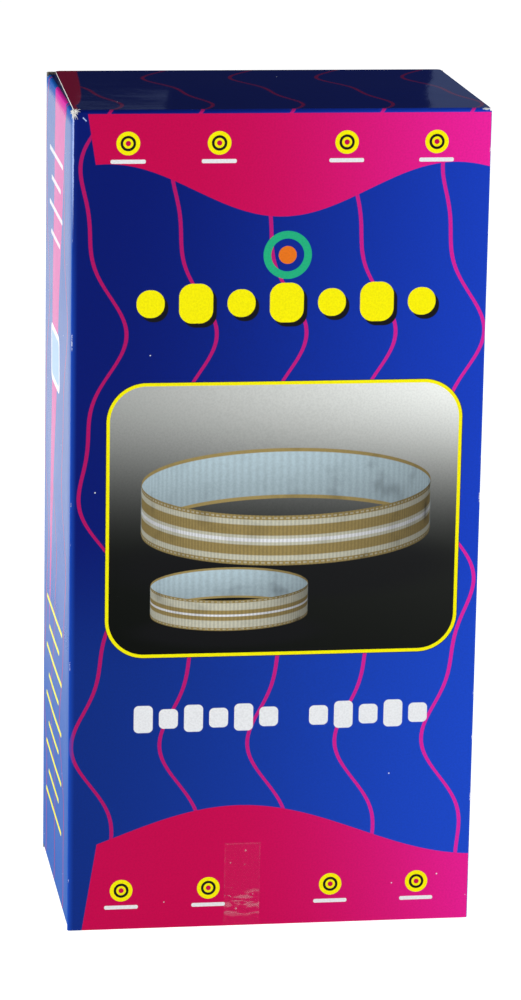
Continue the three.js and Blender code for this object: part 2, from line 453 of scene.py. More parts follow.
@dataclass(frozen=True)
class BandHoop:
    """A plain elastic band closed to a hoop, as printed in the picture window."""

    middle: tuple[float, float]
    half_width: float
    rise: float
    depth: float
    stripes: float

    def draw(self, graph: Graph, ground: Wire, across: Wire, up: Wire) -> Wire:
        """Draws the hoop over a ground colour.

        Args:
            graph: The material's graph.
            ground: Colour under the hoop.
            across: Place on the wall, to the right.
            up: Place on the wall, upwards.

        Returns:
            The colour with the hoop.
        """
        side = (across - self.middle[0]) * (1 / self.half_width)
        arch = (1 - side * side).most(0).root()
        inside = abs(side).below(1.0, 0.012)
        height = up - self.middle[1]
        front = (arch * -self.rise - height) * (1 / self.depth)
        back = (arch * self.rise - height) * (1 / self.depth)
        turn = side.least(1).most(-1).arcsine() * self.half_width
        ruck = graph.noise(graph.vector(turn * 0.09, front * 1.4, 0.0), 1.0, 2.0)
        result = graph.blend(self._shadow(graph, side, height), ground, INKS.black)
        result = graph.blend(self._band(inside, back), result, self._lining(graph, back, turn, side, ruck))
        return graph.blend(self._band(inside, front), result, self._cloth(graph, front, turn, side, ruck))

    @staticmethod
    def _band(inside: Wire, depth: Wire) -> Wire:
        """Mask of one half of the hoop."""
        return inside * depth.ramp(-0.01, 0.01) * depth.below(1.0, 0.02)

    def _shadow(self, graph: Graph, side: Wire, height: Wire) -> Wire:
        """Soft shadow under the hoop."""
        below = (height + self.rise + self.depth) * (1 / self.rise)
        return Drawing(graph).far(side * 0.86, below).ramp(0.75, 1.25, 0.6, 0.0)

    def _cloth(self, graph: Graph, front: Wire, turn: Wire, side: Wire, ruck: Wire) -> Wire:
        """Ribbed outside of the band, with pale stripes and a stitched hem."""
        ribs = (turn * 5.2).sine() * 0.5 + 0.5
        stripe = ((front * (self.stripes * 2 * math.pi)).sine() * 0.5 + 0.5).ramp(0.42, 0.62)
        cloth = graph.blend(stripe, INKS.band_tan, INKS.band_cream)
        cloth = graph.blend(abs(front - 0.5).below(0.035, 0.02), cloth, INKS.white)
        hem = abs(front - 0.5).ramp(0.40, 0.42)
        cloth = graph.blend(hem, cloth, INKS.band_tan)
        stitch = abs(abs(front - 0.5) - 0.45).below(0.016, 0.01) * (turn * 3.4).sine().above(-0.2)
        cloth = graph.blend(stitch * 0.6, cloth, INKS.band_cream)
        cloth = graph.blend(ribs * 0.24, cloth, INKS.black)
        return graph.blend(self._shade(side, ruck), cloth, INKS.black)

    def _lining(self, graph: Graph, back: Wire, turn: Wire, side: Wire, ruck: Wire) -> Wire:
        """Pale inside of the band."""
        hem = abs(back - 0.5).ramp(0.42, 0.44)
        liner = graph.blend((turn * 2.6).sine() * 0.06 + 0.06, INKS.lining, INKS.black)
        liner = graph.blend(back.ramp(0.0, 1.0, 0.0, 0.30), liner, INKS.black)
        liner = graph.blend(hem, liner, INKS.band_tan)
        return graph.blend(self._shade(side * 0.8, ruck), liner, INKS.black)

    @staticmethod
    def _shade(side: Wire, ruck: Wire) -> Wire:
        """Shade towards the hoop's ends and in its rucks."""
        lean = side + 0.18
        return lean * lean * 0.52 + ruck.ramp(0.5, 0.8, 0.0, 0.30)


# Finishes


@dataclass(frozen=True)
class PrintedLaminate:
    """Glossy film over the print of one wall, with painted light and shade in some inks, and the wear of its creases
    with a painted highlight.
    """

    wall: Wall
    spot: Spot = Spot.OBJECT
    line_pitch: float = 27.0
    line_width: float = 1.15
    top_field: tuple[float, float, float, float] = (230.0, 8.0, 104.0, 52.0)
    foot_field: tuple[float, float, float, float] = (30.0, 9.0, 150.0, 10.0)
    strip: float = 252.85

    def material(self) -> bpy.types.Material:
        """Builds the material."""
        graph = Graph(f"printed_{self.wall.value}_{self.spot.value}")
        place = graph.place(self.spot)
        x, y, z = graph.axes(place)
        run, rise = self._unfolded(x, y, z)
        colour = self._ground(graph, x, z)
        colour = self._lines(graph, colour, run, rise)
        if self.wall is Wall.LID:
            colour = self._lid_patch(graph, colour, x, y)
        elif self.wall in (Wall.FRONT, Wall.BACK):
            colour = self._fields(graph, colour, run, z, x)
        if self.wall is Wall.FRONT:
            colour = self._front_marks(graph, colour, x, z)
        elif self.wall in (Wall.LEFT, Wall.RIGHT):
            colour = self._side_marks(graph, colour, y, z)
        elif self.wall is Wall.BACK:
            colour = self._back_marks(graph, colour, x, z)
        mottle = graph.noise(place, 1.7, 3.0)
        fine = graph.noise(place, 0.055, 2.0)
        colour = graph.blend(mottle.ramp(0.3, 0.75, 0.0, 0.11), colour, INKS.black)
        colour, worn = self._wear(graph, colour, place, x, y, z)
        gloss: Any = 0.02 if self.wall is Wall.LID else 0.10
        if self.wall is Wall.LEFT:
            gloss = z.ramp(0, 150, 0.42, 0.10) + z.ramp(248, 252.6, 0.0, 0.4)
        spread = 0.4 if self.wall is Wall.LID else 1.0
        rough = (fine * (0.08 * spread) + mottle * (0.05 * spread) + gloss) + worn * 0.45
        relief = graph.noise(place, 0.9, 2.0) * 0.25 + fine * 2.0 + worn * graph.noise(place, 4.0, 2.0)
        graph.finish(colour, rough, relief, 0.02 if self.wall is Wall.LID else 0.035, IOR=1.08)
        return graph.material

    def _unfolded(self, x: Wire, y: Wire, z: Wire) -> tuple[Wire, Wire]:
        """Place on the flat printed sheet, so that the print runs on round a crease."""
        corner = HALF_WIDTH + HALF_DEPTH
        if self.wall is Wall.LEFT:
            return -corner - y, z
        if self.wall is Wall.RIGHT:
            return y + corner, z
        if self.wall is Wall.BACK:
            return 2 * corner - x, z
        if self.wall is Wall.LID:
            return x, z + y + HALF_DEPTH
        if self.wall is Wall.BASE:
            return x, -HALF_DEPTH - y
        return x, z

    @staticmethod
    def _share(x: Wire, z: Wire) -> Wire:
        """How far the ink has turned from its deep tone to its bright one: partly the print's own shift, partly
        painted shade to the left and painted sheen to the right.
        """
        return (x - z * 0.10).ramp(-78, 100)

    def _ground(self, graph: Graph, x: Wire, z: Wire) -> Wire:
        """The blue ground, deeper to the left."""
        if self.wall is Wall.LID:
            # the lid's ground is painted shade, a little lighter towards the right
            return graph.blend(x.ramp(-60, 70), INKS.lid_navy_painted_shade, tuple(1.3 * c for c in INKS.lid_navy_painted_shade))
        if self.wall in (Wall.LEFT, Wall.RIGHT):
            return graph.blend(z.ramp(20, 240), INKS.side_blue, tuple(0.9 * c for c in INKS.side_blue))
        if self.wall in (Wall.BACK, Wall.BASE):
            return graph.blend(x.ramp(-200, 260), INKS.deep_blue, INKS.royal_blue)
        # deep to the left and bright to the right: partly print, partly painted shade and sheen
        ground = graph.blend(self._share(x, z), INKS.deep_blue, INKS.royal_blue)
        return graph.blend(z.ramp(130, 78, 0.0, 0.15), ground, INKS.foot_blue)

    def _lines(self, graph: Graph, colour: Wire, run: Wire, rise: Wire) -> Wire:
        """Thin pink lines that wave up the board."""
        wave = (rise * (2 * math.pi / 83)).sine() * 6 + (rise * (2 * math.pi / 37) + 1.3).sine() * 2.0
        line = abs((run - wave).wrapped(self.line_pitch)).below(self.line_width / 2)
        if self.wall is Wall.LID:
            # on the lid the lines take the crimson darkened as painted shade
            return graph.blend(line * 0.62, colour, INKS.lid_crimson_painted_shade)
        shade: Any = INKS.line
        # on the front the lines brighten to the right: partly print, partly painted shade and sheen
        if self.wall is Wall.FRONT:
            shade = graph.blend(self._share(run, rise), INKS.line, INKS.line_pink)
        return graph.blend(line, colour, shade)

    def _fields(self, graph: Graph, colour: Wire, run: Wire, z: Wire, x: Wire) -> Wire:
        """Magenta fields with a wavy edge, at the head and the foot."""
        level, swing, length, shift = self.top_field
        head_edge = ((run + shift) * (2 * math.pi / length) + math.pi / 2).sine() * swing + level
        head = (z - head_edge).ramp(-0.1, 0.1) * z.below(self.strip)
        level, swing, length, shift = self.foot_field
        foot_edge = ((run + shift) * (2 * math.pi / length) + math.pi / 2).sine() * swing + level
        foot = (foot_edge - z).ramp(-0.1, 0.1)
        margin = (127 - abs(z - 127)) * 0.16
        inside = (x - margin).ramp(-58.2, -58.0)
        # magenta from crimson at the left to pink at the right: partly print, partly painted shade and sheen
        share = (x + z * 0.06).ramp(-50, 110)
        shade = graph.blend(share * share, INKS.crimson, INKS.pink)
        return graph.blend(head.most(foot) * inside, colour, shade)

    def _lid_patch(self, graph: Graph, colour: Wire, x: Wire, y: Wire) -> Wire:
        """Crimson field along the lid's left edge, narrowing to the front, darkened as painted shade."""
        reach = ((y + 30) * (1 / 68)).most(0).power(0.55) * 7.2 - 60.6
        return graph.blend((reach - x).ramp(-0.3, 0.3), colour, INKS.lid_crimson_painted_shade)

    def _front_marks(self, graph: Graph, colour: Wire, x: Wire, z: Wire) -> Wire:
        """The picture window, the bars in place of words, and the small marks."""
        draw = Drawing(graph)
        colour = self._window(graph, draw, colour, x, z)
        colour = graph.blend(self._beads(draw, x - 3.0, z - 194.7), colour, INKS.black)
        colour = graph.blend(self._beads(draw, x - 1.9, z - 196.0), colour, INKS.yellow)
        colour = self._emblem(graph, draw, colour, x - 1.9, z - 210.4)
        across = x - 6.45
        short = abs(across.wrapped(15.4)).above(3.85)
        title = draw.rounded_box(across.wrapped(7.7), z - 67.3, (2.9, 4.3 - short * 1.2), 1.5).below(0)
        title = title * abs(across).above(3.85) * abs(x - 2.6).below(46.2, 0.1)
        colour = graph.blend(title, colour, INKS.white)
        return self._small_marks(graph, draw, colour, x, z)

    def _beads(self, draw: Drawing, across: Wire, up: Wire) -> Wire:
        """A row of seven plain shapes, upright and round in turn.

        Args:
            draw: The shapes.
            across: Place from the row's middle, to the right.
            up: Place from the row's middle, upwards.

        Returns:
            The mask.
        """
        small = abs(across.wrapped(27.2)).above(6.8)
        half = (5.1 - small * 0.9, 6.0 - small * 1.8)
        body = draw.rounded_box(across.wrapped(13.6), up, half, 4.0).below(0)
        return body * abs(across).below(47.6, 0.1)

    def _window(self, graph: Graph, draw: Drawing, colour: Wire, x: Wire, z: Wire) -> Wire:
        """A round-cornered picture with a yellow border."""
        away = draw.rounded_box(x - 2.2, z - 129.4, (53.9, 42.6), 12)
        height = (z - 85) * (1 / 88)
        level = height * 0.09 + height.ramp(0.33, 1.0, 0.095, 0.715)
        light = (level * (x * 0.0036 + 1)).power(2.2) * 1.1
        grey = graph.blend(light, (0.0, 0.001, 0.0), (0.97, 1.0, 0.96))
        picture = BandHoop((3.0, 141.0), 44.0, 10.5, 15.5, 2.5).draw(graph, grey, x, z)
        picture = BandHoop((-14.0, 109.5), 24.0, 5.2, 9.5, 1.5).draw(graph, picture, x, z)
        colour = graph.blend(away.below(0.22) * 0.8, colour, INKS.black)
        colour = graph.blend(away.below(0), colour, INKS.yellow)
        return graph.blend(away.below(-1.0), colour, picture)

    def _emblem(self, graph: Graph, draw: Drawing, colour: Wire, across: Wire, up: Wire) -> Wire:
        """A plain green ring with an orange disc."""
        away = draw.far(across, up)
        colour = graph.blend(abs(away - 6.1).below(1.15), colour, INKS.green)
        return graph.blend(away.below(2.7), colour, INKS.orange)

    def _small_marks(self, graph: Graph, draw: Drawing, colour: Wire, x: Wire, z: Wire) -> Wire:
        """Rows of small round marks with a white bar under each."""
        upper = z.above(127)
        height = z - 12.5 - upper * 231.6
        side = abs(abs(x) - 32.5) - 13.5
        away = draw.far(side, height)
        colour = graph.blend(away.below(3.5), colour, INKS.yellow)
        colour = graph.blend(abs(away - 1.9).below(0.4), colour, INKS.black)
        colour = graph.blend(away.below(0.8), colour, INKS.crimson)
        bar = draw.rounded_box(side, height + 5.4, (5.2, 0.6), 0.5).below(0)
        return graph.blend(bar, colour, INKS.white)

    def _side_marks(self, graph: Graph, colour: Wire, y: Wire, z: Wire) -> Wire:
        """An upright magenta band and pale bars on a side wall."""
        draw = Drawing(graph)
        band = (z * 0.09 - 7.0 - abs(y - 33.9 + z * 0.155)).ramp(-0.1, 0.1)
        colour = graph.blend(band, colour, INKS.side_pink)
        odd = abs((z - 215.4).wrapped(16.8)).above(4.2)
        bars = draw.rounded_box(y - 7, (z - 215.4).wrapped(8.4), (20 - odd * 6, 0.75), 0.7).below(0)
        colour = graph.blend(bars * abs(z - 219.6).below(16.8, 0.1) * 0.8, colour, INKS.white)
        badge = draw.rounded_box(y - 6, z - 170, (13, 9), 3).below(0)
        inner = draw.rounded_box(y - 6, z - 170, (11, 7), 2).below(0)
        colour = graph.blend(badge, colour, INKS.white)
        colour = graph.blend(inner, colour, ink(150, 190, 225))
        odd = abs((z - 56).wrapped(16.0)).above(4.0)
        low = draw.rounded_box(y - 5, (z - 56).wrapped(8.0), (24 - odd * 8, 0.7), 0.6).below(0)
        low = low * abs(z - 56).below(36, 0.1)
        return graph.blend(low, colour, INKS.yellow)

    def _back_marks(self, graph: Graph, colour: Wire, x: Wire, z: Wire) -> Wire:
        """A pale panel with a yellow border on the back."""
        draw = Drawing(graph)
        away = draw.rounded_box(x, z - 127, (46, 52), 10)
        colour = graph.blend(away.below(0), colour, INKS.yellow)
        colour = graph.blend(away.below(-1.3), colour, ink(206, 212, 224))
        bars = draw.rounded_box(x, (z - 127).wrapped(9.0), (36, 1.0), 0.9).below(0)
        return graph.blend(bars * abs(z - 127).below(40.5, 0.1), colour, ink(44, 58, 120))

    def _wear(self, graph: Graph, colour: Wire, place: Wire, x: Wire, y: Wire, z: Wire) -> tuple[Wire, Wire]:
        """White cracks along the creases, a bared corner, specks, and worn edges with a painted highlight along the
        front left crease.

        Args:
            graph: The material's graph.
            colour: The print.
            place: Place on the board.
            x: Its first number.
            y: Its second number.
            z: Its third number.

        Returns:
            The worn colour with its painted highlight, and where the fibre shows.
        """
        draw = Drawing(graph)
        grain = graph.noise(place, 2.6, 3.0)
        patchy = graph.noise(graph.stretched(place, (0.2, 0.2, 1.0)), 0.16, 2.0)
        edge = draw.far(abs(x) - (HALF_WIDTH - 0.26), abs(y) - (HALF_DEPTH - 0.26))
        front_left = x.below(0, 0.1) * y.below(0, 0.1)
        cracked = z.ramp(212, 240) * front_left
        crack = (edge + (grain - 0.5) * 0.5).below(0.28, 0.16) * cracked * 0.85
        # pale band down the front left crease, wider lower down: worn ink and a painted highlight
        rub_and_highlight = edge.below(0.95, 1.7) * front_left * z.ramp(240, 180, 0.12, 0.75)
        chips = (edge + grain * 1.1).below(0.66, 0.1) * patchy.ramp(0.64, 0.70)
        corner = draw.far(draw.far(x + 62.2, y + 39.7), z - 253.5)
        bared = (corner + (grain - 0.5) * 3.2).below(0.95, 0.3)
        right = draw.far(draw.far((x - 60.8) * 0.35, y + 39.6), z - 253.8)
        bared = bared.most((right + (grain - 0.5) * 0.7).below(0.42, 0.2))
        scratch = draw.stroke(x + 58.9, z - 251.3, -46, 1.5, 0.32) * y.below(-39, 0.1)
        specks = graph.node("ShaderNodeTexVoronoi", None, {"Vector": place, "Scale": 0.13})
        picked = graph.node("ShaderNodeSeparateColor", None, {0: Wire(graph, specks.socket.node.outputs["Color"])})
        speck = specks.below(0.030, 0.012) * picked.above(0.72) * 0.75
        split = crack.most(scratch)
        bare = bared.most(chips * 0.8).most(speck)
        # lays the crease's painted highlight and worn ink
        colour = graph.blend(rub_and_highlight, colour, INKS.crease_highlight_blue)
        colour = graph.blend(split, colour, INKS.cracked)
        return graph.blend(bare, colour, INKS.fibre), bare.most(split)


@dataclass(frozen=True)
class RawBoard:
    """Unprinted side of the board: pale grey fibre with flecks."""

    name: str
    spot: Spot = Spot.OBJECT
    tone: Colour = (0.40, 0.38, 0.33)
    bleed: bool = False
    bleed_edge: float = 57.5

    def material(self) -> bpy.types.Material:
        """Builds the material."""
        graph = Graph(f"{self.name}_{self.spot.value}")
        place = graph.place(self.spot)
        cloud = graph.noise(place, 0.10, 3.0)
        fibre = graph.noise(graph.stretched(place, (1.0, 1.0, 0.25)), 2.4, 3.0)
        fleck = graph.node("ShaderNodeTexVoronoi", None, {"Vector": place, "Scale": 0.45})
        picked = graph.node("ShaderNodeSeparateColor", None, {0: Wire(graph, fleck.socket.node.outputs["Color"])})
        darker = tuple(0.70 * c for c in self.tone)
        colour = graph.blend(cloud.ramp(0.3, 0.7, 0.0, 0.5), self.tone, darker)
        colour = graph.blend(fibre.ramp(0.45, 0.75, 0.0, 0.45), colour, tuple(min(1.0, 1.35 * c) for c in self.tone))
        colour = graph.blend(fleck.below(0.10, 0.06) * picked.above(0.80) * 0.5, colour, (0.16, 0.12, 0.09))
        rough: Any = fibre * 0.15 + 0.75
        if self.bleed:
            x, _, _ = graph.axes(place)
            printed = (abs(x) + (fibre - 0.5) * 0.15).ramp(self.bleed_edge - 0.1, self.bleed_edge + 0.1)
            # the bleed takes the lid's navy, darkened as painted shade, so the gap beside the lid's edge reads dark
            colour = graph.blend(printed, colour, INKS.lid_navy_painted_shade)
            rough = rough - printed * 0.3
        graph.finish(colour, rough, fibre + cloud, 0.05, IOR=1.2)
        return graph.material


@dataclass(frozen=True)
class CutEdge:
    """The board's cut edge: white plies with a pale core."""

    spot: Spot = Spot.OBJECT

    def material(self) -> bpy.types.Material:
        """Builds the material."""
        graph = Graph(f"cut_edge_{self.spot.value}")
        place = graph.place(self.spot)
        fibre = graph.noise(place, 5.0, 2.0)
        soft = graph.noise(place, 0.5, 2.0)
        colour = graph.blend(fibre.ramp(0.35, 0.7), (0.72, 0.68, 0.66), (0.92, 0.88, 0.86))
        colour = graph.blend(soft.ramp(0.4, 0.8, 0.0, 0.25), colour, (0.46, 0.42, 0.38))
        graph.finish(colour, 0.9, fibre, 0.08, IOR=1.35)
        return graph.material


@dataclass(frozen=True)
class ClearFilm:
    """Clear adhesive tape with pale streaks where air is caught under it."""

    def material(self) -> bpy.types.Material:
        """Builds the material."""
        graph = Graph("clear_film")
        place = graph.place(Spot.OBJECT)
        x, y, z = graph.axes(place)
        streaks = graph.noise(graph.stretched(place, (0.22, 1.0, 0.75)), 0.9, 2.0)
        caught = streaks.ramp(0.50, 0.60) * abs(z - 7.5).below(4.0, 3.0) * 0.06
        side = abs(abs(x + 8.6) - 5.5).below(0.22, 0.3) * streaks.ramp(0.4, 0.6) * 0.025
        dots = graph.node("ShaderNodeTexVoronoi", None, {"Vector": place, "Scale": 0.42})
        picked = graph.node("ShaderNodeSeparateColor", None, {0: Wire(graph, dots.socket.node.outputs["Color"])})
        specks = dots.below(0.13, 0.08) * picked.above(0.66) * 0.13
        end = abs(z - 26.6).below(0.25, 0.3) * 0.02
        haze = caught.most(side).most(specks).most(end) + 0.003
        graph.finish((0.86, 0.88, 0.92), streaks * 0.16 + 0.08, streaks, 0.06, IOR=1.45, Alpha=haze)
        return graph.material


@dataclass(frozen=True)
class PaperFibre:
    """Torn board: loose white fibre."""

    def material(self) -> bpy.types.Material:
        """Builds the material."""
        graph = Graph("paper_fibre")
        place = graph.place(Spot.OBJECT)
        fluff = graph.noise(place, 6.0, 3.0)
        colour = graph.blend(fluff.ramp(0.3, 0.7), (0.62, 0.60, 0.56), (0.88, 0.87, 0.84))
        graph.finish(colour, 0.95, fluff, 0.05, IOR=1.35)
        return graph.material


class Store:
    """Makes each finish's material once."""

    def __init__(self) -> None:
        """Starts empty."""
        self._made: dict[Any, bpy.types.Material] = {}

    def get(self, finish: Any) -> bpy.types.Material:
        """Returns the material of a finish, made on first use."""
        if finish not in self._made:
            self._made[finish] = finish.material()
        return self._made[finish]


# Hand tools


class Bench:
    """Starts pieces, selects by place, and runs Blender's mesh operators."""

    @staticmethod
    def clear() -> None:
        """Leaves edit mode and deselects everything."""
        if bpy.context.object is not None and bpy.context.object.mode != "OBJECT":
            bpy.ops.object.mode_set(mode="OBJECT")
        bpy.ops.object.select_all(action="DESELECT")

    @staticmethod
    def sheet(name: str, centre: Point, size: tuple[float, float], turn: Point = (0, 0, 0)) -> bpy.types.Object:
        """Starts a piece from a flat sheet.

        Args:
            name: The piece's name.
            centre: Its middle, in millimetres.
            size: Its width and length, in millimetres.
            turn: Its turn, in degrees.

        Returns:
            The object, with its place in its mesh.
        """
        Bench.clear()
        bpy.ops.mesh.primitive_plane_add(
            size=1, location=[c * MM for c in centre], rotation=[math.radians(a) for a in turn]
        )
        made = bpy.context.object
        made.scale = (size[0] * MM, size[1] * MM, 1)
        bpy.ops.object.transform_apply(location=True, rotation=True, scale=True)
        made.name = name
        made.data.name = name
        return made

    @staticmethod
    @contextmanager
    def editing(piece: bpy.types.Object, select: str = "EDGE") -> Iterator[None]:
        """Edit mode on one piece.

        Args:
            piece: The piece.
            select: VERT, EDGE or FACE.
        """
        Bench.clear()
        piece.select_set(True)
        bpy.context.view_layer.objects.active = piece
        bpy.ops.object.mode_set(mode="EDIT")
        bpy.ops.mesh.select_mode(type=select)
        yield
        bpy.ops.object.mode_set(mode="OBJECT")

    @staticmethod
    def pick(kind: str, test: Place) -> int:
        """Selects what lies where a test says, and nothing else.

        Args:
            kind: verts, edges or faces.
            test: Takes the middle of an element, in millimetres.

        Returns:
            How many were selected.
        """
        data = bpy.context.object.data
        mesh = bmesh.from_edit_mesh(data)
        for elements in (mesh.verts, mesh.edges, mesh.faces):
            for element in elements:
                element.select = False
        count = 0
        for element in getattr(mesh, kind):
            points = [element.co] if kind == "verts" else [v.co for v in element.verts]
            middle = sum(points, Vector()) / len(points) / MM
            if test(middle):
                element.select_set(True)
                count += 1
        bmesh.update_edit_mesh(data)
        return count

    @staticmethod
    def extrude(step: Point) -> None:
        """Extrudes the selection by a step, in millimetres."""
        bpy.ops.mesh.extrude_region_move(TRANSFORM_OT_translate={"value": [s * MM for s in step]})

    @staticmethod
    def fold(centre: Point, axis: Point, degrees: float, steps: int = 6) -> None:
        """Spins the selected edge round a fold.

        Args:
            centre: A point on the fold's axis, in millimetres.
            axis: The axis.
            degrees: Right-handed turn. The operator counts the other way.
            steps: Facets in the fold.
        """
        bpy.ops.mesh.spin(
            steps=steps, angle=-math.radians(degrees), center=[c * MM for c in centre], axis=axis
        )

    @staticmethod
    def cut(places: Sequence[float], axis: int) -> None:
        """Cuts the whole mesh at places along an axis, in millimetres."""
        normal = [1.0 if i == axis else 0.0 for i in range(3)]
        for value in places:
            bpy.ops.mesh.select_all(action="SELECT")
            point = [value * MM if i == axis else 0.0 for i in range(3)]
            bpy.ops.mesh.bisect(plane_co=point, plane_no=normal)

    @staticmethod
    def evenly(low: float, high: float, step: float) -> list[float]:
        """Places between two limits, about a step apart."""
        count = max(1, round((high - low) / step))
        return [low + (high - low) * i / count for i in range(1, count)]

    @staticmethod
    def swell(centre: Point, push: Point, reach: float) -> None:
        """Moves the points nearest a place, and those round it less and less.

        Args:
            centre: The place, in millimetres.
            push: The move there, in millimetres.
            reach: How far the move reaches, in millimetres.
        """
        mesh = bmesh.from_edit_mesh(bpy.context.object.data)
        target = Vector(centre) * MM
        nearest = min((v.co - target).length for v in mesh.verts)
        Bench.pick("verts", lambda p: (p * MM - target).length < nearest + 1e-6)
        bpy.ops.transform.translate(
            value=[p * MM for p in push],
            use_proportional_edit=True,
            proportional_edit_falloff="SMOOTH",
            proportional_size=reach * MM,
        )

    @staticmethod
    def modify(piece: bpy.types.Object, kind: str, **settings: Any) -> None:
        """Adds a modifier and applies it.

        Args:
            piece: The piece.
            kind: The modifier's type.
            **settings: Its settings.
        """
        Bench.clear()
        piece.select_set(True)
        bpy.context.view_layer.objects.active = piece
        added = piece.modifiers.new(kind.lower(), kind)
        for key, value in settings.items():
            setattr(added, key, value)
        bpy.ops.object.modifier_apply(modifier=added.name)

    @staticmethod
    def outward(piece: bpy.types.Object, spot: Place, direction: Point) -> None:
        """Turns a sheet's faces so that those at a spot look in a direction.

        Args:
            piece: The piece, still a single sheet.
            spot: Picks the faces to look at.
            direction: Where they should look.
        """
        with Bench.editing(piece, "FACE"):
            bpy.ops.mesh.select_all(action="SELECT")
            bpy.ops.mesh.remove_doubles(threshold=1e-6)
            bpy.ops.mesh.normals_make_consistent(inside=False)
            mesh = bmesh.from_edit_mesh(piece.data)
            looks = [f.normal.dot(Vector(direction)) for f in mesh.faces if spot(f.calc_center_median() / MM)]
            bpy.ops.mesh.select_all(action="SELECT")
            if sum(looks) < 0:
                bpy.ops.mesh.flip_normals()

    @staticmethod
    def smooth(piece: bpy.types.Object, degrees: float = 32) -> None:
        """Shades smooth across gentle angles."""
        Bench.clear()
        piece.select_set(True)
        bpy.context.view_layer.objects.active = piece
        bpy.ops.object.shade_smooth_by_angle(angle=math.radians(degrees))

    @staticmethod
    def thicken(piece: bpy.types.Object, thickness: float = BOARD) -> None:
        """Gives a sheet its board thickness, inwards from its printed face."""
        Bench.modify(
            piece, "SOLIDIFY", thickness=thickness * MM, offset=-1.0, use_even_offset=True, use_rim=True
        )

    @staticmethod
    def paint(
        piece: bpy.types.Object,
        materials: Sequence[bpy.types.Material],
        choose: Callable[[Vector, Vector], int],
    ) -> None:
        """Gives each face one of the materials.

        Args:
            piece: The piece.
            materials: The materials, in order.
            choose: Takes a face's middle in millimetres and its normal, and returns the number of a material.
        """
        for material in materials:
            piece.data.materials.append(material)
        for face in piece.data.polygons:
            face.material_index = choose(face.center / MM, face.normal)

    @staticmethod
    def keep_place(piece: bpy.types.Object) -> None:
        """Keeps every point's place at rest in an attribute."""
        kept = piece.data.attributes.new("rest_place", "FLOAT_VECTOR", "POINT")
        for vertex, value in zip(piece.data.vertices, kept.data):
            value.vector = vertex.co


# Sub-assemblies


